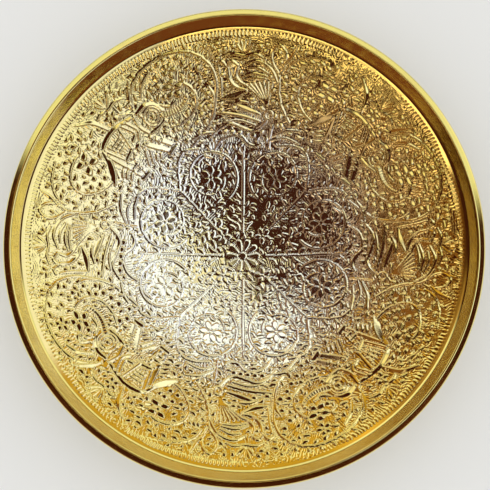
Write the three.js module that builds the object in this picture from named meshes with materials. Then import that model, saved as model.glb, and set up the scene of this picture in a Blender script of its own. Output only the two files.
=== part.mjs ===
// Footed offering plate of pressed brass sheet: a shallow round dish with an upstanding collar,
// a lip curled round a stiffening wire, and a spun foot ring soldered underneath.
// Millimetres, +Z up. The plate stands on z = 0 and its axis is the Z axis.
import * as THREE from "three";

const BRASS = new THREE.MeshStandardMaterial({ color: 0xc9a24a, metalness: 1, roughness: 0.3 });
const STEEL = new THREE.MeshStandardMaterial({ color: 0x8d9094, metalness: 1, roughness: 0.4 });
const SOLDER = new THREE.MeshStandardMaterial({ color: 0xb9bcbb, metalness: 1, roughness: 0.4 });

const TURNS = 72; // facets round the axis
const GAP = 0.3; // clearance between neighbouring pieces

// Dish: the walked face is the upper one, seen from inside the plate.
const SHEET = 1.0; // sheet thickness
const FLOOR_Z = 6.3; // upper face of the dish at its centre
const BOWL_RADIUS = 273; // spherical bowl
const BOWL_EDGE_SLOPE = 30.6; // degrees, where the bowl meets the collar
const COLLAR_SLOPE = 53;
const COLLAR_FILLET = 6;
const COLLAR_LENGTH = 6.2;
const CREST_RADIUS = 1.2;
const LIP_SLOPE = 30; // degrees below horizontal
const LIP_LENGTH = 3.2;
const CURL_RADIUS = 2.5; // outer face of the curled edge
const CURL_END = 280; // degrees, heading of the sheet's cut edge
const WIRE_RADIUS = CURL_RADIUS - SHEET - GAP;

// Foot ring: the walked face is the outer one.
const FOOT_SHEET = 1.2;
const FOOT_TOP = [58.6, 11.3]; // outer top corner
const FOOT_WALL_HEADING = 80; // degrees below horizontal
const FOOT_COVE = 5;
const FOOT_FLANGE = 3;

const rad = (degrees) => (degrees * Math.PI) / 180;

// Follows one face of a sheet outward from a start point. A heading is the slope below
// horizontal in degrees; each move is a straight {line} or an arc {radius, to, steps} that turns
// to a new heading. Returns the face's points, each with its unit normal.
function walk([r, z], heading, moves) {
  const points = [];
  const push = () => {
    const a = rad(heading);
    points.push({ r, z, nr: Math.sin(a), nz: Math.cos(a) });
  };
  push();
  for (const move of moves) {
    if (move.line) {
      r += move.line * Math.cos(rad(heading));
      z -= move.line * Math.sin(rad(heading));
      push();
      continue;
    }
    const start = heading;
    const side = Math.sign(move.to - start); // +1 rounds over, -1 hollows
    const centreR = r - side * move.radius * Math.sin(rad(start));
    const centreZ = z - side * move.radius * Math.cos(rad(start));
    for (let i = 1; i <= move.steps; i++) {
      heading = start + ((move.to - start) * i) / move.steps;
      r = centreR + side * move.radius * Math.sin(rad(heading));
      z = centreZ + side * move.radius * Math.cos(rad(heading));
      push();
    }
  }
  return points;
}

// Closed section of a sheet: the walked face, then the other face back again.
function sheetSection(points, thickness) {
  const face = points.map((p) => new THREE.Vector2(p.r, p.z));
  const back = points.map((p) => new THREE.Vector2(p.r - thickness * p.nr, p.z - thickness * p.nz));
  return face.concat(back.reverse());
}

// Revolves a section listed clockwise (up face outward, under face back), so faces point out.
function turned(name, section, material, closed) {
  const outline = section.slice().reverse();
  if (closed) outline.push(outline[0].clone());
  const geometry = new THREE.LatheGeometry(outline, TURNS).rotateX(Math.PI / 2);
  const mesh = new THREE.Mesh(geometry, material);
  mesh.name = name;
  return mesh;
}

const dishFace = walk([0, FLOOR_Z], 0, [
  { radius: BOWL_RADIUS, to: -BOWL_EDGE_SLOPE, steps: 12 },
  { radius: COLLAR_FILLET, to: -COLLAR_SLOPE, steps: 2 },
  { line: COLLAR_LENGTH },
  { radius: CREST_RADIUS, to: LIP_SLOPE, steps: 4 },
  { line: LIP_LENGTH },
  { radius: CURL_RADIUS, to: CURL_END, steps: 9 },
]);

// The wire lies at the centre of the curl.
const curlEnd = dishFace[dishFace.length - 1];
const wireR = curlEnd.r - CURL_RADIUS * curlEnd.nr;
const wireZ = curlEnd.z - CURL_RADIUS * curlEnd.nz;

// The foot's wall runs down until its cove lands the flange on the table.
const coveDrop = FOOT_COVE * (1 - Math.cos(rad(FOOT_WALL_HEADING)));
const footWall = (FOOT_TOP[1] - FOOT_SHEET - coveDrop) / Math.sin(rad(FOOT_WALL_HEADING));
const footFace = walk(FOOT_TOP, FOOT_WALL_HEADING, [
  { line: footWall },
  { radius: FOOT_COVE, to: 0, steps: 5 },
  { line: FOOT_FLANGE },
]);

// Underside of the bowl at radius r.
function undersideZ(r) {
  return FLOOR_Z + BOWL_RADIUS - Math.sqrt((BOWL_RADIUS + SHEET) ** 2 - r ** 2);
}

// Solder runs round the outer corner of ring and bowl, with a hollow face.
const filletCorner = new THREE.Vector2(59.0, undersideZ(59.0) - GAP);
const filletOuter = new THREE.Vector2(61.4, undersideZ(61.4) - GAP);
const filletLower = new THREE.Vector2(59.25, 9.8);
const filletMiddle = new THREE.Vector2(59.7, 11.2);

const plate = new THREE.Group();
plate.name = "offering_plate";
plate.add(turned("dish_shell", sheetSection(dishFace, SHEET), BRASS, false));
plate.add(turned("foot_ring", sheetSection(footFace, FOOT_SHEET), BRASS, true));
plate.add(
  turned("foot_solder_fillet", [filletCorner, filletOuter, filletMiddle, filletLower], SOLDER, true),
);

const wire = new THREE.Mesh(new THREE.TorusGeometry(wireR, WIRE_RADIUS, 10, TURNS), STEEL);
wire.name = "rim_wire";
wire.geometry.translate(0, 0, wireZ);
plate.add(wire);

export default plate;
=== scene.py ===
"""Footed offering plate of chased brass sheet, silvered in the middle and gilt outside."""
import math

import bpy
import numpy as np
from mathutils import Matrix, Vector


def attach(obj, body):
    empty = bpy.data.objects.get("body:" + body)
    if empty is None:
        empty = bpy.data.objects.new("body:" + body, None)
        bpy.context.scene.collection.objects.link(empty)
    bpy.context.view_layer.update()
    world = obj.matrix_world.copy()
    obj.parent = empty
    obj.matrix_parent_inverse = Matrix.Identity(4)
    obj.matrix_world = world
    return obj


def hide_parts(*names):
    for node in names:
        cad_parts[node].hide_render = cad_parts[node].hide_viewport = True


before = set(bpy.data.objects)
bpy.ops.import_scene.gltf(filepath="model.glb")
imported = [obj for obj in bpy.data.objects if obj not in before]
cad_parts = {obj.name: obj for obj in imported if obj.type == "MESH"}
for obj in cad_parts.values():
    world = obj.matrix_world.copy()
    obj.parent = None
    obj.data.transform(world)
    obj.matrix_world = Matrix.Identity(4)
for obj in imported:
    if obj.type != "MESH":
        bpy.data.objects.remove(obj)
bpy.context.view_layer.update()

MM = 0.001
scene = bpy.context.scene


# --- camera -------------------------------------------------------------------------------------
# The eye is nearly overhead, a little towards -Y and -X of the plate's axis.
RIM_Z = 47.4  # mm, height of the widest circle
EYE = Vector((-13.5, -68.0, RIM_Z + 620.0)) * MM
AIM = Vector((-0.27, -1.35, RIM_Z)) * MM
LENS = 73.68  # mm, focal length
SENSOR = 36.0  # mm


def add_camera():
    data = bpy.data.cameras.new("camera")
    data.sensor_width = SENSOR
    data.lens = LENS
    data.clip_start = 0.01
    data.clip_end = 50.0
    camera = bpy.data.objects.new("camera", data)
    scene.collection.objects.link(camera)
    forward = (AIM - EYE).normalized()
    right = forward.cross(Vector((0, 1, 0))).normalized()
    up = right.cross(forward)
    turn = Matrix((right, up, -forward)).transposed()
    camera.matrix_world = Matrix.Translation(EYE) @ turn.to_4x4()
    scene.camera = camera


add_camera()


# --- chased relief ------------------------------------------------------------------------------
# Every length here is in millimetres. Bearings are degrees clockwise from +Y.
CELL = 0.2  # grid of the height map
HALF = 141.0  # half the side of that grid
ORNAMENT_EDGE = 137.6  # radius of the chased field
BORDER_START = 134.2  # radius where its border of radial strokes begins
BORDER_PITCH = 2.4
HATCH_PITCH = 1.45
HATCH_HEIGHT = 0.15
RAISED = 0.2  # height of stems and leaves
SHOULDER = 0.5  # width of their sloping edge
ELEPHANT_WIDTH = 1.65  # the elephants' bands are this many times as broad as listed
RIBBON_WIDTH = 0.6  # and the ribbons' bands
OUTER_GAIN = 1.9  # the relief is this many times as deep outside as in the middle
OUTER_START, OUTER_END = 54.0, 86.0  # radii between which the middle gives way to the outside
SHORT = 6.0  # a band shorter than this is level from end to end as well
LEVEL_LIMIT = 0.58  # levelling lifts or sinks a top by no more than this
BOWL_RADIUS = 273.0  # of the sphere that the bowl is part of
MOAT = 0.5  # a later shape cuts this far into an earlier one
MOAT_GAP = 0.1  # bare strip beside it
TWIST_SWING = 0.38  # half the swing of a twisted band's height, as a share of it
HATCH_REACH = 7.0  # hatching follows a stem this far out
FAR = 12.0  # stands for any greater distance
GROUND_RADIUS = 96.0  # where the patches of radial strokes have the hatching's pitch
BUD_START, BUD_PITCH = 2.6, 3.7  # along a stem
BUD_END = 1.5  # the end of a stem is bare for this length
TOP_BLUR, UNDER_BLUR = 1, 9  # passes that soften the relief above and below

rng = np.random.default_rng(8)
axis_mm = np.arange(-HALF, HALF + CELL / 2, CELL, dtype=np.float32)
N = len(axis_mm)
raised = np.zeros((N, N), np.float32)  # height of the shapes
free = np.full((N, N), FAR, np.float32)  # distance to the nearest shape
reach = np.full((N, N), FAR, np.float32)  # distance to the nearest stem
along = np.zeros((N, N), np.float32)  # distance travelled along that stem


def smooth(t):
    t = np.clip(t, 0, 1)
    return t * t * (3 - 2 * t)


radius_mm = np.hypot(axis_mm[None, :], axis_mm[:, None])
outer = smooth((radius_mm - OUTER_START) / (OUTER_END - OUTER_START))
gain = 1 + (OUTER_GAIN - 1) * outer


def spline(points, step=0.8):
    """Catmull-Rom curve through rows of (x, y, half width)."""
    p = np.asarray(points, float)
    ends = np.vstack([2 * p[0] - p[1], p, 2 * p[-1] - p[-2]])
    out = []
    for a, b, c, d in zip(ends, ends[1:], ends[2:], ends[3:]):
        n = max(2, int(np.hypot(*(c - b)[:2]) / step))
        t = np.linspace(0, 1, n, endpoint=False)[:, None]
        cubic = 2 * b + (c - a) * t + (2 * a - 5 * b + 4 * c - d) * t**2 + (3 * b - a - 3 * c + d) * t**3
        out.append(0.5 * cubic)
    return np.vstack(out + [p[-1:]])


def window(lo, hi):
    """Slices of the grid that hold the rectangle from lo to hi."""
    i0, j0 = (int(max(0, (v + HALF) / CELL)) for v in lo)
    i1, j1 = (int(min(N, (v + HALF) / CELL + 2)) for v in hi)
    return slice(j0, j1), slice(i0, i1)


def draw(path, height=RAISED, rungs=0.0, guide=0.0):
    """Raises a band along a path of (x, y, half width), and cuts a moat into what lies under it.

    Outside the middle the band's top is level across, up to LEVEL_LIMIT, though the bowl slopes.
    rungs is the pitch of a twist along the band. Within guide of the path, hatching runs out
    from it.
    """
    margin = max(guide, MOAT + 0.3) + path[:, 2].max()
    area = window(path[:, :2].min(0) - margin, path[:, :2].max(0) + margin)
    edge = np.full(raised[area].shape, -FAR, np.float32)
    where = np.zeros_like(edge)
    drop = np.zeros_like(edge)
    if not edge.size:
        return
    middle = path[:, :2].mean(0)
    short = np.hypot(*np.diff(path[:, :2], axis=0).T).sum() < SHORT
    travelled = 0.0
    for a, b in zip(path, path[1:]):
        step = b[:2] - a[:2]
        length = math.hypot(*step)
        if length < 1e-6:
            continue
        part = window(np.minimum(a, b)[:2] - margin, np.maximum(a, b)[:2] + margin)
        here = tuple(slice(p.start - w.start, p.stop - w.start) for p, w in zip(part, area))
        x, y = axis_mm[None, part[1]] - a[0], axis_mm[part[0], None] - a[1]
        t = np.clip((x * step[0] + y * step[1]) / length**2, 0, 1)
        inside = a[2] + (b[2] - a[2]) * t - np.hypot(x - t * step[0], y - t * step[1])
        nearer = inside > edge[here]
        edge[here] = np.where(nearer, inside, edge[here])
        where[here] = np.where(nearer, travelled + t * length, where[here])
        across = (x - t * step[0], y - t * step[1])
        if short:
            across = (x + a[0] - middle[0], y + a[1] - middle[1])
        outward = across[0] * axis_mm[None, part[1]] + across[1] * axis_mm[part[0], None]
        outward = outward * BOWL_RADIUS / (BOWL_RADIUS**2 - radius_mm[part] ** 2)
        drop[here] = np.where(nearer, outward, drop[here])
        travelled += length
    lift = height * gain[area]
    if rungs:
        lift = lift * (1 - TWIST_SWING + TWIST_SWING * np.cos(2 * math.pi * where / rungs))
    raised[area] *= smooth((-edge - MOAT_GAP) / MOAT + np.where(edge > 0, 1, 0))
    inside = smooth(edge / SHOULDER + 0.5)
    drop = np.clip(drop, -LEVEL_LIMIT, LEVEL_LIMIT)
    raised[area] += inside * (lift - outer[area] * drop - raised[area])
    free[area] = np.minimum(free[area], -edge)
    if guide:
        near = (-edge < reach[area]) & (-edge < guide)
        reach[area] = np.where(near, -edge, reach[area])
        along[area] = np.where(near, where, along[area])


def polar(points, bearing=0.0):
    """Rows of (bearing, radius, half width) as (x, y, half width)."""
    p = np.asarray(points, float)
    a = np.radians(p[:, 0] + bearing)
    return np.column_stack([p[:, 1] * np.sin(a), p[:, 1] * np.cos(a), p[:, 2]])


def place(points, bearing, radius, turn=0.0):
    """Rows of (u, v, half width) about a point of the plate; v points outward when turn is 0."""
    p = np.asarray(points, float)
    a, t = math.radians(bearing), math.radians(bearing + turn)
    x = radius * math.sin(a) + p[:, 0] * math.cos(t) + p[:, 1] * math.sin(t)
    y = radius * math.cos(a) - p[:, 0] * math.sin(t) + p[:, 1] * math.cos(t)
    return np.column_stack([x, y, p[:, 2]])


def strokes(shapes, bearing, broaden=1.0):
    """Bands along shapes given as rows of (bearing, radius, half width)."""
    for points in shapes:
        path = spline(polar(points, bearing))
        path[:, 2] *= broaden
        draw(path)


def leaf(points, width):
    """Round-ended leaf along a curve through rows of (x, y)."""
    path = spline([(x, y, 0) for x, y in points], step=0.5)
    t = np.linspace(0, math.pi, len(path))
    path[:, 2] = width * (0.3 + 0.7 * np.sin(t) ** 0.7)
    draw(path)


def dot(bearing, radius, size, height=RAISED):
    draw(place([(0, 0, size), (0.01, 0, size)], bearing, radius), height)


def ring(bearing, radius, size, width):
    t = np.linspace(0, 2 * math.pi, max(12, int(size * 6)))
    circle = np.column_stack([size * np.sin(t), size * np.cos(t), np.full_like(t, width)])
    draw(place(circle, bearing, radius))


def flower(bearing, radius, petals, size, turn=0.0):
    petal = [(0, 0.26 * size, 0.10 * size), (0, 0.6 * size, 0.27 * size), (0, 0.85 * size, 0.2 * size)]
    for i in range(petals):
        draw(spline(place(petal, bearing, radius, turn + 360 * i / petals)))
    dot(bearing, radius, 0.16 * size)


def spiral(bearing, radius, size, start, sweep, inner, width):
    """Scroll that winds in from its outer radius."""
    t = np.linspace(0, 1, max(16, int(abs(sweep) / 9)))
    a = np.radians(start + sweep * t)
    distance = size + (inner - size) * t**1.6
    scroll = np.column_stack([distance * np.sin(a), distance * np.cos(a), width * (1 - 0.45 * t)])
    return place(scroll, bearing, radius)


# Shapes as rows of (bearing, radius, half width), about the axis of the quarter that they stand in.
ELEPHANT = [
    [(-10.6, 110.4, .5), (-8.3, 112.9, .8), (-3.7, 114.2, .8), (0.9, 113, .8), (4.6, 112, .5)],  # back
    [(-10.7, 110, .6), (-12, 104.5, 1.1), (-14.6, 99, 1.3), (-17.8, 94, .5)],  # tail
    [(-9.9, 109.8, .5), (-7.4, 96.2, .5)],  # saddle cloth
    [(-7.4, 96.2, .5), (-2.8, 98.2, .5)],
    [(-2.8, 98.2, .5), (-1.6, 111.4, .5)],
    [(-8.4, 109.6, .3), (-6.3, 99.0, .3)],
    [(-6.3, 99.0, .3), (-3.8, 100.3, .3)],
    [(-3.8, 100.3, .3), (-2.9, 110.4, .3)],
    [(-6.9, 108.9, .28), (-5.4, 100.0, .28)],
    [(-5.2, 109.2, .28), (-4.4, 100.6, .28)],
    [(-7.7, 107.4, .28), (-3.3, 108.2, .28)],
    [(-7.2, 105.0, .28), (-3.5, 105.8, .28)],
    [(-6.8, 102.6, .28), (-3.7, 103.4, .28)],
    [(-0.2, 112, .45), (1.7, 104, .45), (-.6, 101.2, .45)],  # strap
    [(1.6, 111.6, .45), (3.2, 104.6, .5), (1.8, 99.5, .5)],
    [(4.9, 112, .5), (4.6, 104.8, .6), (6.2, 98.4, .5)],  # neck
    [(-10.6, 105.5, .6), (-9.1, 94.5, .9), (-8.3, 86.5, .8), (-7.8, 82.4, .6)],  # hind legs
    [(-4.8, 93.2, .6), (-5.5, 86.5, .7), (-5.4, 82.4, .6)],
    [(-8.6, 81.2, .7), (-4.6, 81.2, .7)],
    [(-8.2, 89.9, .4), (-5.4, 89.9, .4)],
    [(-7.8, 86.6, .4), (-5.9, 86.6, .4)],
    [(2.2, 95, .7), (5.5, 88.5, .9), (8.9, 82.8, .7)],  # fore legs
    [(5.6, 96.4, .7), (8.6, 90.5, .9), (11.8, 84.4, .7)],
    [(8.7, 81.0, .8), (12.2, 83.0, .8)],
    [(5.0, 93.4, .35), (6.6, 94.6, .35)],
    [(7.0, 90, .35), (8.4, 91.4, .35)],
    [(-2.2, 84.0, .45), (0.4, 91.4, .45)],  # belly
    [(-0.2, 83.2, .45), (2.0, 89.6, .45)],
    [(1.9, 82.6, .45), (3.8, 87.4, .45)],
    [(4.0, 82.2, .45), (5.4, 85.2, .45)],
    [(-13.6, 92.2, .45), (-10.8, 95.4, .45)],  # haunch
    [(-13.0, 89.6, .45), (-10.2, 92.6, .45)],
    [(-12.2, 87.0, .45), (-9.6, 89.4, .45)],
    [(6.9, 110, .45), (8.2, 105.4, .5), (7.2, 100.8, .45)],  # ear
    [(6.4, 112.0, .6), (10, 113.3, .8), (13.2, 109.6, .8), (14.8, 103.6, .6)],  # brow
    [(6.8, 97.6, .5), (10.0, 98.0, .6), (13.6, 99.6, .5)],  # jaw
]
TRUNK = [(13.8, 103.0, 1.5), (18.1, 101.6, 1.4), (21.9, 103.0, 1.2), (24.3, 106.6, 1.0), (23.4, 110.2, .7)]
EYE_SPOT = (10.4, 105.2)
PEACOCK = [
    [(-5.4, 118.0, .8), (-5.0, 111.8, .9), (-2.7, 106.8, .9), (.5, 105, .6)],  # neck
    [(-2.2, 118.2, .7), (-2.8, 113.4, .8), (-1.2, 109.4, .7), (1.0, 107.2, .5)],
    [(-5.6, 118.2, .6), (-4.0, 121.6, .8), (-2.0, 118.8, .6)],  # head
    [(-8.6, 120.5, .5), (-7.0, 121.8, .7), (-5.9, 119, .4)],  # beak
    [(-8.3, 118, .7), (-8.0, 111.8, .8), (-8.4, 100.8, .5)],
    [(-.4, 118.6, .5), (3.6, 121.6, .7), (8.2, 118.4, .7), (11.3, 111, .5)],  # wing
    [(-1.2, 112.2, .4), (2.8, 114.6, .8), (7.4, 113.4, .4)],
    [(-.8, 110.8, .4), (3.0, 112.2, .6), (7.0, 112.0, .4)],
    [(1.2, 117.2, .4), (4.2, 117.8, .6), (7.6, 115.2, .4)],
    [(-8.3, 100.8, .4), (-3.7, 101.7, 1.5), (.9, 104.2, .4)],  # legs
    [(-4.2, 97.0, .3), (.9, 94.2, 1.4), (6.6, 91.2, .5)],
    [(-10.8, 93.0, .5), (-2, 90.2, .9), (6.7, 87.0, .6)],
    [(-8.4, 86.8, .3), (-2, 87.0, .5), (5.0, 84.4, .4)],
]
FAN_APEX = (9.2, 96.4)
FEATHERS = 7  # of the fan
RIBBONS = [
    [(-15.5, 79.5, .5), (-10.8, 83.4, 1.2), (-6, 85.6, 1.4), (-1.4, 83, 1.4), (3.6, 80.8, 1.5),
     (7.2, 83, 1.2), (10.4, 89, .8)],
    [(-15.4, 71, .5), (-10.6, 76.4, 1.0), (-4.8, 78.4, 1.2), (-1, 77.2, 1.4), (2.2, 72.8, 1.5),
     (6.2, 71.6, 1.3), (9.4, 74, .7)],
    [(12.6, 86, .6), (12.9, 79, .8), (13.6, 71.6, .6)],
    [(13.8, 79, .5), (19.2, 85, 1.3), (25, 88, .5)],
    [(13.4, 76.5, .4), (19.6, 80.6, .8), (27, 80.5, .4)],
    [(-17.5, 66.6, .5), (-22, 69.4, 1.2), (-27, 66.8, .4)],
    [(-24.5, 81.4, .5), (-19.4, 82.8, 1.6), (-13.4, 81.6, .4)],
]
ARMS = [  # from the fork of each diagonal stem
    [(0, 59.4, .8), (2.6, 62.5, .7), (6.7, 69.4, .7), (11, 75.2, .7), (15.5, 77.2, .7), (22, 75, .5)],
    [(0, 59.4, .8), (-2.6, 62.5, .7), (-6.7, 69.4, .7), (-11.5, 76, .7), (-16, 78.4, .7), (-22, 77.2, .7),
     (-28, 74.4, .5)],
]
STEMS = [
    [(-29, 76.0, .5), (-19.2, 82.4, .7), (-13.2, 90.5, .7), (-10.8, 101, .7), (-9.6, 111, .7),
     (-10.9, 121, .7), (-14.6, 128.6, .7), (-19.4, 132.2, .7), (-25.2, 132.8, .7),
     (-31, 130.6, .7), (-35.6, 125.6, .7), (-38.2, 118, .4)],  # arch beside the peacock
    [(6.9, 121.4, .4), (11.0, 116, .7), (12.4, 106, .7), (14.6, 98, .7), (19.3, 90.2, .5)],
    [(-30.5, 94.2, .4), (-26, 93.2, .6), (-21.6, 95.4, .6), (-18.6, 99.4, .7), (-17.4, 105.4, .7),
     (-18.6, 111.8, .7), (-22, 116.4, .6), (-26.5, 117.6, .5),
     (-30.2, 115.4, .4)],  # scroll round the next trunk
    [(27.6, 96.0, .4), (23.3, 98.6, .6), (20.0, 104.2, .7), (18.6, 110.4, .7), (19.6, 116.6, .7),
     (22.8, 120.8, .7), (27.0, 122.0, .6), (30.8, 119.6, .4)],  # scroll behind the next elephant
    [(13.2, 118, .4), (15.0, 124.4, .6), (18.6, 129.2, .6), (23.6, 131.4, .4)],
]
LEAVES = [
    [(11.5, 115.6, .3), (8.6, 121.6, .6), (8.0, 127.4, .6), (9.6, 131.6, .6), (11.8, 128.6, .7),
     (12.5, 121.8, .6), (11.5, 115.6, .3)],
    [(14.8, 133.4, .3), (13.9, 127, .9), (11.9, 120.4, .3)],
    [(34.8, 132, .3), (38.8, 126, 1.3), (40.8, 115.8, .4)],
    [(51.0, 116, .3), (52.2, 122.4, 1.1), (54.6, 129.4, .3)],
    [(55.2, 117.6, .3), (57.4, 123.8, .8), (61.0, 127.8, .3)],
    [(-5.2, 96.4, .5), (-1.6, 98.2, .9), (1.4, 97.6, .4)],
    [(-12.0, 97.2, .3), (-11.2, 103.6, .7), (-12.4, 108.8, .3)],
    [(-30.4, 108.4, .3), (-27.6, 105.6, .8), (-24.4, 106.4, .3)],
]
# Rows of (bearing, radius).
BERRIES = [  # beside the elephant's head
    (31.9, 105.4), (30.2, 112.7), (32.5, 116.8), (28.2, 99.0), (31.3, 98.0), (27.9, 94.3),
    (25.3, 90.5), (21.6, 91.9), (15.3, 91.5), (14.7, 86.7), (21.9, 87.2), (35.9, 94.3),
    (41.1, 94.8), (37.7, 114.5), (17.0, 111.5), (18.1, 82.4),
]
BLOSSOM_SPOTS = [(21.9, 106.4), (25.0, 107.0), (28.2, 106.4), (24.3, 102.0), (27.3, 101.4)]
# Rows of (bearing, radius, petals, size, turn).
FLOWERS = [
    (28.0, 115.2, 4, 7.4, 40),
    (-24.2, 114.0, 5, 6.8, 10),
    (-23.4, 124.6, 5, 4.6, 30),
    (44.0, 119.8, 5, 4.4, 0),
]


def figures(q):
    """What stands in one quarter: a peacock on its axis and an elephant half way to the next."""
    strokes(RIBBONS, q, broaden=RIBBON_WIDTH)
    for i in range(FEATHERS):
        t = i / (FEATHERS - 1)
        tip = (0.4 + 9.2 * t, 108.0 + 2.6 * t)
        middle = (0.5 * (tip[0] + FAN_APEX[0]), 0.5 * (tip[1] + FAN_APEX[1]))
        draw(polar([(*FAN_APEX, .15), (*middle, .3), (*tip, .56)], q))
    strokes(PEACOCK, q)
    ring(q + 10.4, 91.4, 2.5, .5)
    strokes(ELEPHANT, q + 45, broaden=ELEPHANT_WIDTH)
    bearing = q + 45 + EYE_SPOT[0]
    for size in (5.6, 3.5):
        ring(bearing, EYE_SPOT[1], size, .5)
    dot(bearing, EYE_SPOT[1], 1.3)
    draw(spline(polar(TRUNK, q + 45)), rungs=1.8)
    for i in range(6):  # beads under the saddle cloth
        dot(q + 37 + 2.2 * i, 94.6, .85)
    for i in range(5):  # beads between the ribbons
        dot(q - 8.6 + 3.3 * i, 80.9 - 0.7 * i, 1.55)
    for bearing, radius in BERRIES:
        dot(q + 45 + bearing, radius, rng.uniform(1.35, 1.7))
    for bearing, radius in BLOSSOM_SPOTS:
        dot(q + bearing, radius, 1.5)
    strokes(LEAVES, q)
    for bearing, radius, petals, size, turn in FLOWERS:
        flower(q + bearing, radius, petals, size, turn)


guides = []  # paths of the stems, for the buds


def vine(path):
    draw(path, guide=HATCH_REACH)
    guides.append(path)


def vines():
    for q in range(0, 360, 90):
        vine(spline(polar([(0, 15.5, .5), (0, 34, .75), (0, 52, .8), (0, 68, .45)], q)))
        vine(spline(polar([(45, 24.5, .45), (45, 40, .7), (45, 60, 1.0)], q)))
        for arm in ARMS:
            vine(spline(polar(arm, q + 45)))
        for stem in STEMS:
            vine(spline(polar(stem, q)))
        for side in (-1, 1):
            vine(spiral(q + 22.5 * side, 55.5, 17.6, -160 * side, 420 * side, 8.2, .75))


def centre():
    draw(np.array([[0, 0, 2.3], [0.01, 0, 2.3]]))
    for i in range(10):
        draw(spline(place([(0, 4.0, .7), (0, 7.2, 1.55), (0, 9.2, 1.75)], 36 * i + 18, 0)))
    for q in range(0, 360, 90):
        flower(q + 45, 18.6, 5, 5.2, 0)
        for side in (-1, 1):
            draw(spline(polar([(7.5 * side, 17.5, .4), (9.5 * side, 20.5, .9), (15 * side, 23.0, .4)], q)))
            flower(q + 22.5 * side, 55.2, 6, 7.0, 18)
            for i in range(5):
                petal = [(0, 9.0, .5), (0.6, 10.6, 1.2), (0, 12.4, .5)]
                draw(spline(place(petal, q + 22.5 * side, 55.2, 72 * i + 30)))


def palmettes():
    for q in range(0, 360, 45):
        bracket = [(-5.6, 123.4, .3), (-3, 125.2, .6), (0, 124.2, .6), (3, 125.2, .6), (5.6, 123.4, .3)]
        strokes([bracket], q)
        for i in range(5):
            draw(spline(place([(0, 0.8, .3), (0, 4.2, .85), (0, 7.4, .3)], q, 125.2, 23 * i - 46)))


def sample(field, x, y):
    return field[int((y + HALF) / CELL), int((x + HALF) / CELL)]


def buds():
    """Curled leaves that leave the stems on alternate sides."""
    for path in guides:
        travelled = np.cumsum(np.r_[0, np.hypot(*np.diff(path[:, :2], axis=0).T)])
        side = 1
        for at in np.arange(BUD_START, travelled[-1] - BUD_END, BUD_PITCH):
            i = min(max(int(np.searchsorted(travelled, at)), 1), len(path) - 1)
            ahead = path[i, :2] - path[i - 1, :2]
            ahead /= max(1e-6, math.hypot(*ahead))
            side = -side
            out = np.array([-ahead[1], ahead[0]]) * side
            root = path[i, :2] + out * (path[i, 2] + 0.1)
            size = rng.uniform(0.8, 1.25)
            tip = root + (out * 2.9 + ahead * 3.0) * size
            if sample(free, *(root + out * 2.0 * size + ahead * size)) < 0.8 or sample(free, *tip) < 0.8:
                continue
            middle = root + (out * 1.9 + ahead * 0.9) * size
            leaf([root, middle, tip], 0.78 * size)


def fill(count, length, width, clearance, border):
    """Small bent leaves strewn over the bare ground."""
    for x, y, bearing, bend, scale in rng.uniform((-1, -1, 0, -1, .8), (1, 1, 360, 1, 1.2), (count, 5)):
        x, y = x * ORNAMENT_EDGE, y * ORNAMENT_EDGE
        r = math.hypot(x, y)
        if r > border or r < 12 or sample(free, x, y) < clearance:
            continue
        u = np.array([math.sin(math.radians(bearing)), math.cos(math.radians(bearing))]) * length * scale
        v = np.array([u[1], -u[0]]) * 0.45 * bend
        if min(sample(free, x + s * u[0], y + s * u[1]) for s in (-1, 1)) < 0.7 * width + 0.35:
            continue
        leaf([(x - u[0] + v[0], y - u[1] + v[1]), (x, y), (x + u[0] + v[0], y + u[1] + v[1])], width)


def build():
    vines()
    palmettes()
    for q in range(0, 360, 90):
        figures(q)
    centre()
    buds()
    fill(count=5200, length=2.0, width=1.0, clearance=2.3, border=BORDER_START - 3)
    fill(count=9000, length=1.3, width=.85, clearance=1.75, border=BORDER_START - 2)


def smooth_noise(cells, seed):
    """Noise over the height map, with this many cells to a side."""
    g = np.random.default_rng(seed).normal(size=(cells + 2, cells + 2))
    t = np.linspace(0, cells, N, endpoint=False)
    i, f = t.astype(int), t % 1
    f = f * f * (3 - 2 * f)
    rows = g[i] * (1 - f)[:, None] + g[i + 1] * f[:, None]
    return (rows[:, i] * (1 - f) + rows[:, i + 1] * f).astype(np.float32)


def finish():
    """Height map of the chased face: shapes, the hatched ground between them, and the border."""
    turn = np.arctan2(axis_mm[None, :], axis_mm[:, None])
    # away from the stems, patches of radial strokes and of rings
    loose = np.where(smooth_noise(34, 11) > 0, turn * GROUND_RADIUS, radius_mm)
    phase = np.where(reach < FAR - 0.01, along, loose) / HATCH_PITCH
    phase += 0.5 * np.round(1.5 * smooth_noise(60, 7)) + 0.35 * smooth_noise(90, 3)
    wave = smooth(2 * np.abs(phase % 1 - 0.5))
    depth = HATCH_HEIGHT * np.clip(1 + 0.4 * smooth_noise(110, 5), 0.35, 1.7)
    z = raised + gain * depth * (wave - 0.6) * smooth((free + 0.1) / 0.45)
    # border of short radial strokes
    strokes_wave = 2 * np.abs((turn * BORDER_START / BORDER_PITCH + 0.25 * smooth_noise(40, 13)) % 1 - 0.5)
    edge = ORNAMENT_EDGE + 0.35 * smooth_noise(30, 17)
    band = smooth((radius_mm - BORDER_START) / 0.8) * np.clip(0.75 + 0.5 * smooth_noise(9, 19), 0.15, 1)
    z = z * (1 - band) + band * (0.36 * smooth(strokes_wave * 1.6 - 0.3) - 0.06)
    z += 0.05 * smooth_noise(22, 23)
    return z * smooth((edge - radius_mm) / 0.9)


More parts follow.
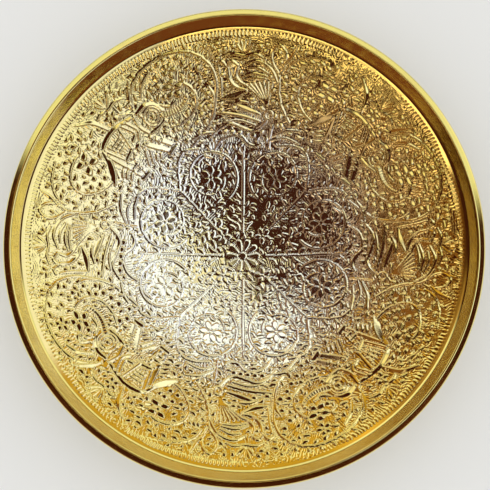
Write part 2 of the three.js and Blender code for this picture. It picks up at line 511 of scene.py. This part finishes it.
# --- sheet metal as rings of vertices -----------------------------------------------------------
# Slopes and headings are in degrees.
SHEET = 1.0
FLOOR_Z = 6.3  # upper face of the dish at its centre
BOWL_EDGE_SLOPE = 30.6
COLLAR_SLOPE = 53.0
COLLAR_FILLET = 6.0
COLLAR_LENGTH = 6.2
CREST_RADIUS = 1.2
LIP_SLOPE = 30.0  # below horizontal
LIP_LENGTH = 3.2
CURL_RADIUS = 2.5
CURL_END = 280.0  # heading of the sheet's cut edge
WIRE_RADIUS = 1.2
TOP_SPACING = 0.36  # between vertices of the chased face
UNDER_SPACING = 1.3
RIM_TURNS = 720  # vertices round the collar, lip and curl
TURNS = 360  # vertices round the other turned pieces


def walk(start, moves):
    """Rows of (r, z, normal r, normal z) along one face; start is (r, z, heading).

    A heading is the slope below horizontal in degrees. A move is a length, or an arc
    (radius, new heading, steps).
    """
    r, z, heading = start
    rows = [(r, z, heading)]
    for move in moves:
        if isinstance(move, tuple):
            radius, to, steps = move
            side = math.copysign(1, to - heading)
            turn = np.radians(heading + (to - heading) * np.arange(1, steps + 1) / steps)
            centre_r = r - side * radius * math.sin(math.radians(heading))
            centre_z = z - side * radius * math.cos(math.radians(heading))
            spoke = side * radius
            arc = np.column_stack([centre_r + spoke * np.sin(turn), centre_z + spoke * np.cos(turn)])
            rows += [(*point, math.degrees(a)) for point, a in zip(arc, turn)]
        else:
            a = math.radians(heading)
            for d in np.linspace(0, move, max(2, round(move / 0.8) + 1))[1:]:
                rows.append((r + d * math.cos(a), z - d * math.sin(a), heading))
        r, z, heading = rows[-1]
    rows = np.array(rows)
    a = np.radians(rows[:, 2])
    return np.column_stack([rows[:, :2], np.sin(a), np.cos(a)])


def other_face(rows, thickness):
    """The face under a walked one, listed backwards."""
    back = rows[::-1].copy()
    back[:, :2] -= thickness * back[:, 2:]
    back[:, 2:] *= -1
    return back


def stitch(count_a, base_a, count_b, base_b):
    """Triangles between two rings of vertices, facing up when ring b is the outer one."""
    i, j = np.arange(count_a), np.arange(count_b)
    apex_b = (count_b * (2 * i + 1) + count_a) // (2 * count_a) % count_b
    apex_a = -(-(count_a * (2 * j + 1) - count_b) // (2 * count_b)) % count_a
    return np.vstack([
        np.column_stack([base_a + (i + 1) % count_a, base_a + i, base_b + apex_b]),
        np.column_stack([base_a + apex_a, base_b + j, base_b + (j + 1) % count_b]),
    ])


def ring_surface(rings, lift=None, poles=None):
    """Points and triangles of a closed surface of rings (r, z, normal r, normal z, count).

    poles is the pair of z where the surface starts and ends on the axis; without it the last ring
    joins the first. lift(x, y, ring number) gives how far each point moves along its normal.
    """
    points, normals, numbers, base = [], [], [], [0]
    for number, (r, z, nr, nz, count) in enumerate(rings):
        t = 2 * math.pi * np.arange(count) / count
        c, s = np.cos(t), np.sin(t)
        points.append(np.column_stack([r * c, r * s, np.full(count, z)]))
        normals.append(np.column_stack([nr * c, nr * s, np.full(count, nz)]))
        numbers.append(np.full(count, number))
        base.append(base[-1] + count)
    counts = [ring[4] for ring in rings]
    faces = [stitch(counts[k], base[k], counts[k + 1], base[k + 1]) for k in range(len(rings) - 1)]
    if not poles:
        faces.append(stitch(counts[-1], base[-2], counts[0], base[0]))
    points, normals = np.vstack(points), np.vstack(normals)
    if lift:
        points += normals * lift(points[:, 0], points[:, 1], np.concatenate(numbers))[:, None]
    if poles:
        first, last = np.arange(counts[0]), np.arange(counts[-1])
        faces.append(np.column_stack([np.full(counts[0], base[-1]), first, (first + 1) % counts[0]]))
        faces.append(np.column_stack([
            np.full(counts[-1], base[-1] + 1), base[-2] + (last + 1) % counts[-1], base[-2] + last]))
        points = np.vstack([points, [[0, 0, poles[0]], [0, 0, poles[1]]]])
    return points, np.vstack(faces)


def add_piece(name, surface, material, node):
    points, faces = surface
    mesh = bpy.data.meshes.new(name)
    mesh.vertices.add(len(points))
    mesh.vertices.foreach_set("co", (points * MM).astype(np.float32).ravel())
    mesh.loops.add(3 * len(faces))
    mesh.loops.foreach_set("vertex_index", faces.astype(np.int32).ravel())
    mesh.polygons.add(len(faces))
    mesh.polygons.foreach_set("loop_start", np.arange(0, 3 * len(faces), 3, dtype=np.int32))
    mesh.polygons.foreach_set("loop_total", np.full(len(faces), 3, dtype=np.int32))
    mesh.polygons.foreach_set("use_smooth", np.ones(len(faces), dtype=bool))
    mesh.update()
    mesh.validate()
    mesh.materials.append(material)
    piece = bpy.data.objects.new(name, mesh)
    scene.collection.objects.link(piece)
    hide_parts(node)
    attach(piece, "root")
    return piece


# --- materials ----------------------------------------------------------------------------------
class Nodes:
    """A material's node tree, with short calls for the nodes used here."""

    def __init__(self, name):
        self.material = bpy.data.materials.new(name)
        self.material.use_nodes = True
        self.tree = self.material.node_tree
        self.tree.nodes.clear()
        self.shader = self.add("ShaderNodeBsdfPrincipled")
        out = self.add("ShaderNodeOutputMaterial")
        self.link(self.shader.outputs["BSDF"], out.inputs["Surface"])
        self.position = self.add("ShaderNodeTexCoord").outputs["Object"]

    def add(self, kind, **settings):
        node = self.tree.nodes.new(kind)
        for key, value in settings.items():
            setattr(node, key, value)
        return node

    def link(self, a, b):
        self.tree.links.new(a, b)

    def put(self, socket, value):
        if isinstance(value, bpy.types.NodeSocket):
            self.link(value, socket)
        else:
            socket.default_value = value

    def math(self, operation, *values):
        node = self.add("ShaderNodeMath", operation=operation)
        for socket, value in zip(node.inputs, values):
            self.put(socket, value)
        return node.outputs[0]

    def noise(self, scale, detail=3.0, vector=None):
        node = self.add("ShaderNodeTexNoise")
        self.put(node.inputs["Vector"], vector or self.position)
        node.inputs["Scale"].default_value = scale
        node.inputs["Detail"].default_value = detail
        return node.outputs["Fac"]

    def remap(self, value, low, high, to_low=0.0, to_high=1.0):
        node = self.add("ShaderNodeMapRange", interpolation_type="SMOOTHSTEP")
        for socket, v in zip(node.inputs, (value, low, high, to_low, to_high)):
            self.put(socket, v)
        return node.outputs[0]

    def mix(self, factor, a, b):
        node = self.add("ShaderNodeMix", data_type="RGBA")
        self.put(node.inputs["Factor"], factor)
        self.put(node.inputs["A"], a)
        self.put(node.inputs["B"], b)
        return node.outputs["Result"]

    def radius(self):
        """Distance from the plate's axis, in metres."""
        parts = self.add("ShaderNodeSeparateXYZ")
        self.link(self.position, parts.inputs[0])
        squares = [self.math("MULTIPLY", axis, axis) for axis in parts.outputs[:2]]
        return self.math("SQRT", self.math("ADD", *squares))

    def turned_lines(self, radius, lines_per_metre):
        """Noise that changes only with the distance from the axis."""
        vector = self.add("ShaderNodeCombineXYZ")
        self.link(self.math("MULTIPLY", radius, lines_per_metre), vector.inputs[0])
        return self.noise(1.0, 2.0, vector.outputs[0])

    def bump(self, height, distance):
        node = self.add("ShaderNodeBump")
        node.inputs["Distance"].default_value = distance
        self.link(height, node.inputs["Height"])
        self.link(node.outputs["Normal"], self.shader.inputs["Normal"])


SILVER = (0.94, 0.92, 0.88, 1)
GOLD = (0.95, 0.83, 0.46, 1)
DEEP_GOLD = (0.95, 0.81, 0.33, 1)
TARNISH = (0.80, 0.62, 0.36, 1)
DISH_FADE = (0.066, 0.104)  # m from the axis, where silver turns to gold
FOOT_FADE = (0.0, 0.01)
DEEPENING = (0.108, 0.135)  # m from the axis, where gold turns deeper
FADE_WANDER = 0.022  # m, unevenness of the fade
PEEL_DEPTH = 0.00001  # m, of the fine bumps in the plating
GRAIN_DEPTH = 0.00003  # m, of the fine bumps in plain metal


def plated(name, fade_between):
    """Polished plating that turns from silver to gold between two distances from the axis."""
    n = Nodes(name)
    r = n.radius()
    wander = n.math("MULTIPLY", n.math("SUBTRACT", n.noise(28, 2), 0.5), FADE_WANDER)
    fade = n.remap(n.math("ADD", r, wander), *fade_between)
    colour = n.mix(fade, SILVER, GOLD)
    colour = n.mix(n.remap(r, *DEEPENING), colour, DEEP_GOLD)
    colour = n.mix(n.remap(n.noise(90, 4), 0.55, 0.8, 0.0, 0.25), colour, TARNISH)
    n.put(n.shader.inputs["Base Color"], colour)
    n.shader.inputs["Metallic"].default_value = 1.0
    n.put(n.shader.inputs["Roughness"], n.remap(n.noise(140, 5), 0.3, 0.75, 0.06, 0.14))
    peel = n.math("ADD", n.math("MULTIPLY", n.turned_lines(r, 9000.0), 0.35), n.noise(900, 2))
    n.bump(peel, PEEL_DEPTH)
    return n.material


def plain_metal(name, colour, dark, rough):
    """Bare metal, darker and rougher in patches."""
    n = Nodes(name)
    n.put(n.shader.inputs["Base Color"], n.mix(n.remap(n.noise(160, 4), 0.35, 0.7), colour, dark))
    n.shader.inputs["Metallic"].default_value = 1.0
    n.put(n.shader.inputs["Roughness"], n.remap(n.noise(220, 4), 0.3, 0.7, rough, rough + 0.15))
    n.bump(n.noise(700, 3), GRAIN_DEPTH)
    return n.material


# --- dish ---------------------------------------------------------------------------------------
BOWL = (0, FLOOR_Z, 0)
RIM_MOVES = [
    (COLLAR_FILLET, -COLLAR_SLOPE, 8), COLLAR_LENGTH,
    (CREST_RADIUS, LIP_SLOPE, 12), LIP_LENGTH,
    (CURL_RADIUS, CURL_END, 30),
]
FOOT_INNER, FOOT_OUTER = 52.0, 66.0  # between these the underside is plain, for the foot
FOOT_MARGIN = 6.0  # over which the relief returns
UNDER_SHARE = 0.6  # of the relief shows on the underside
OFF_CENTRE = (-0.8, -4.1)  # assumed place of the pattern's middle; (0, 0) centres it on the axis


def ringed(rows, spacing):
    """Rows of a walk, each with the number of vertices that keeps the spacing."""
    return [(*row, max(6, round(2 * math.pi * row[0] / spacing))) for row in rows]


def dish_rings():
    """Rings from the middle of the upper face, over the curled edge, to that of the underside.

    Gives also how many of them are chased at the start, and how many at the end.
    """
    arc = BOWL_RADIUS * math.radians(BOWL_EDGE_SLOPE)
    bowl = walk(BOWL, [(BOWL_RADIUS, -BOWL_EDGE_SLOPE, round(arc / TOP_SPACING))])[1:]
    rim = walk((bowl[-1, 0], bowl[-1, 1], -BOWL_EDGE_SLOPE), RIM_MOVES)[1:]
    under = walk(BOWL, [(BOWL_RADIUS, -BOWL_EDGE_SLOPE, round(arc / UNDER_SPACING))])[1:]
    rings = ringed(bowl, TOP_SPACING)
    rings += [(*row, RIM_TURNS) for row in np.vstack([rim, other_face(rim, SHEET)])]
    return rings + ringed(other_face(under, SHEET), UNDER_SPACING), len(bowl), len(under)


def bilinear(field, x, y):
    """Height map read between its grid points."""
    x = np.clip((x + HALF) / CELL, 0, N - 1.001)
    y = np.clip((y + HALF) / CELL, 0, N - 1.001)
    i, j = x.astype(int), y.astype(int)
    x, y = x - i, y - j
    low = field[j, i] * (1 - x) + field[j, i + 1] * x
    high = field[j + 1, i] * (1 - x) + field[j + 1, i + 1] * x
    return low * (1 - y) + high * y


def blur(field, passes):
    for _ in range(passes):
        for axis in (0, 1):
            field = 0.5 * field + 0.25 * (np.roll(field, 1, axis) + np.roll(field, -1, axis))
    return field


def struck(field, x, y):
    """The height map under (x, y), with its middle off centre and its edge on the plate's axis."""
    share = np.clip(1 - (x**2 + y**2) / ORNAMENT_EDGE**2, 0, 1)
    return bilinear(field, x - OFF_CENTRE[0] * share, y - OFF_CENTRE[1] * share)


def dish():
    build()
    relief_map = blur(finish(), TOP_BLUR)
    under_map = blur(relief_map, UNDER_BLUR)
    rings, top_count, under_count = dish_rings()

    def lift(x, y, ring_number):
        r = np.hypot(x, y)
        top = struck(relief_map, x, y) * (ring_number < top_count)
        off_foot = smooth((r - FOOT_OUTER) / FOOT_MARGIN) + smooth((FOOT_INNER - r) / FOOT_MARGIN)
        under = -UNDER_SHARE * struck(under_map, x, y) * (ring_number >= len(rings) - under_count)
        return top + under * off_foot

    middle = FLOOR_Z + float(struck(relief_map, np.zeros(1), np.zeros(1))[0])
    return ring_surface(rings, lift, (middle, FLOOR_Z - SHEET))


PLATING = plated("gilt_and_silvered_brass", DISH_FADE)
add_piece("dish_chased_shell", dish(), PLATING, "dish_shell")

# --- foot, solder and wire ----------------------------------------------------------------------
FOOT_SHEET = 1.2
FOOT_TOP = (58.6, 11.3)  # outer top corner
FOOT_WALL_HEADING = 80.0
FOOT_COVE = 5.0
FOOT_FLANGE = 3.0
GAP = 0.3  # between neighbouring pieces
FILLET_SAG = 0.12  # unevenness of the solder


def foot():
    cove_drop = FOOT_COVE * (1 - math.cos(math.radians(FOOT_WALL_HEADING)))
    wall = (FOOT_TOP[1] - FOOT_SHEET - cove_drop) / math.sin(math.radians(FOOT_WALL_HEADING))
    face = walk((*FOOT_TOP, FOOT_WALL_HEADING), [wall, (FOOT_COVE, 0, 14), FOOT_FLANGE])
    return ring_surface([(*row, TURNS) for row in np.vstack([face, other_face(face, FOOT_SHEET)])])


def wire():
    """Round wire at the centre of the curled edge."""
    arc = (BOWL_RADIUS, -BOWL_EDGE_SLOPE, 1)
    r, z, nr, nz = walk(BOWL, [arc, *RIM_MOVES])[-1]
    r, z = r - CURL_RADIUS * nr, z - CURL_RADIUS * nz
    a = np.radians(np.arange(0, 360, 20))
    nr, nz = np.sin(a), np.cos(a)
    section = np.column_stack([r + WIRE_RADIUS * nr, z + WIRE_RADIUS * nz, nr, nz])
    return ring_surface([(*row, TURNS) for row in section])


def underside_z(r):
    """Height of the bowl's underside at a distance from the axis."""
    return FLOOR_Z + BOWL_RADIUS - math.sqrt((BOWL_RADIUS + SHEET) ** 2 - r * r)


def solder():
    """Bead in the corner of foot and bowl: flat against both, hollow and uneven outside."""
    corner, middle, outer = ((r, underside_z(r) - GAP) for r in (59.0, 60.2, 61.4))
    face = [(60.3, 11.65), (59.7, 11.2), (59.4, 10.6), (59.25, 9.8), (59.1, 10.6)]
    section = np.array([corner, middle, outer, *face])
    away = section - section.mean(0)
    away /= np.hypot(*away.T)[:, None]

    def lift(x, y, ring_number):
        t = np.arctan2(y, x)
        wave = 0.5 * np.sin(7 * t + 1) + 0.3 * np.sin(17 * t + 2.3) + 0.2 * np.sin(41 * t)
        return FILLET_SAG * wave * np.isin(ring_number, (3, 4, 5))

    return ring_surface([(*row, TURNS) for row in np.column_stack([section, away])], lift)


STEEL = plain_metal("bright_steel_wire", (0.56, 0.56, 0.56, 1), (0.4, 0.39, 0.37, 1), 0.3)
TIN = plain_metal("tin_solder", (0.66, 0.64, 0.58, 1), (0.45, 0.42, 0.36, 1), 0.35)
add_piece("foot_ring_spun", foot(), plated("gilt_spun_brass", FOOT_FADE), "foot_ring")
add_piece("rim_wire_drawn", wire(), STEEL, "rim_wire")
add_piece("foot_solder_seam", solder(), TIN, "foot_solder_fillet")


# --- floor and light ----------------------------------------------------------------------------
FLOOR_SIZE = 8.0  # m, half a side
FLOOR_DROP = 0.0001  # m under the foot


def add_floor():
    mesh = bpy.data.meshes.new("floor")
    signs = ((-1, -1), (1, -1), (1, 1), (-1, 1))
    corners = [(x * FLOOR_SIZE, y * FLOOR_SIZE, -FLOOR_DROP) for x, y in signs]
    mesh.from_pydata(corners, [], [(0, 1, 2, 3)])
    n = Nodes("pale_floor")
    shade = n.mix(n.noise(3, 2), (0.80, 0.80, 0.79, 1), (0.84, 0.84, 0.83, 1))
    n.put(n.shader.inputs["Base Color"], shade)
    n.shader.inputs["Roughness"].default_value = 0.9
    mesh.materials.append(n.material)
    floor = bpy.data.objects.new("floor", mesh)
    scene.collection.objects.link(floor)


# The studio as the polished metal sees it: a dim brown room with soft panels. Each panel has the
# bearing of its middle, half its width, the tilt from straight up where it starts and ends, its
# softness, all in degrees, and its colour. They are tuned for the camera's view.
ROOM = (0.045, 0.012, 0.005)
PANELS = [
    (57, 88, 21, 33, 5, (1.15, 1.22, 1.1)),
    (38, 42, 11, 19, 3, (1.0, 0.92, 0.45)),
    (255, 68, 25, 30, 3, (0.65, 0.5, 0.32)),
    (285, 55, 33, 46, 5, (0.18, 0.08, 0.02)),
    (205, 52, 43, 49, 3, (2.0, 1.6, 0.9)),
    (92, 25, 34, 44, 5, (1.1, 1.2, 1.3)),
    (102, 50, 44, 60, 5, (0.95, 1.0, 1.1)),
    (10, 42, 41, 60, 6, (0.55, 0.35, 0.04)),
    (6, 68, 61, 84, 6, (0.85, 0.9, 0.65)),
    (312, 26, 49, 70, 6, (0.36, 0.22, 0.06)),
    (85, 35, 82, 180, 6, (0.8, 0.75, 0.7)),
    (180, 62, 72, 180, 8, (0.11, 0.035, 0.015)),
]
PLAIN_LIGHT = (1.0, 1.0, 0.99, 1)  # what everything else sees


class WorldNodes:
    """The world's node tree; edges are soft steps of an angle in degrees."""

    def __init__(self):
        world = bpy.data.worlds.new("studio")
        scene.world = world
        world.use_nodes = True
        world.cycles.sampling_method = "NONE"
        self.tree = world.node_tree
        self.tree.nodes.clear()
        self.direction = self.tree.nodes.new("ShaderNodeTexCoord").outputs["Generated"]
        flat = self.vector("MULTIPLY", self.direction, (1, 1, 0))
        self.level = self.vector("NORMALIZE", flat)
        self.tilt = self.degrees(self.vector("DOT_PRODUCT", self.direction, (0, 0, 1)))

    def node(self, kind, values, **settings):
        node = self.tree.nodes.new(kind)
        for key, value in settings.items():
            setattr(node, key, value)
        for socket, value in zip(node.inputs, values):
            if isinstance(value, bpy.types.NodeSocket):
                self.tree.links.new(value, socket)
            else:
                socket.default_value = value
        return node

    def vector(self, operation, *values):
        outputs = self.node("ShaderNodeVectorMath", values, operation=operation).outputs
        return outputs["Value"] if operation == "DOT_PRODUCT" else outputs["Vector"]

    def math(self, operation, *values):
        return self.node("ShaderNodeMath", values, operation=operation).outputs[0]

    def degrees(self, cosine):
        return self.math("DEGREES", self.math("ARCCOSINE", cosine))

    def step(self, angle, at, softness):
        """1 below the given angle, 0 above it."""
        values = (angle, at - softness / 2, at + softness / 2, 1.0, 0.0)
        return self.node("ShaderNodeMapRange", values, interpolation_type="SMOOTHSTEP").outputs[0]

    def mix(self, factor, a, b):
        node = self.tree.nodes.new("ShaderNodeMix")
        node.data_type = "RGBA"
        for name, value in (("Factor", factor), ("A", a), ("B", b)):
            if isinstance(value, bpy.types.NodeSocket):
                self.tree.links.new(value, node.inputs[name])
            else:
                node.inputs[name].default_value = value
        return node.outputs["Result"]


def add_world():
    w = WorldNodes()
    light = ROOM
    for bearing, width, start, end, softness, colour in PANELS:
        middle = (math.sin(math.radians(bearing)), math.cos(math.radians(bearing)), 0)
        aside = w.degrees(w.vector("DOT_PRODUCT", w.level, middle))
        inside = w.math("MULTIPLY", w.step(aside, width, 2 * softness), w.step(w.tilt, end, softness))
        inside = w.math("MULTIPLY", inside, w.math("SUBTRACT", 1.0, w.step(w.tilt, start, softness)))
        light = w.vector("MULTIPLY_ADD", inside, colour, light)
    rays = w.tree.nodes.new("ShaderNodeLightPath")
    colour = w.mix(rays.outputs["Is Glossy Ray"], PLAIN_LIGHT, light)
    background = w.node("ShaderNodeBackground", (colour,))
    w.node("ShaderNodeOutputWorld", (background.outputs[0],))


add_floor()
add_world()
scene.view_settings.view_transform = "Standard"
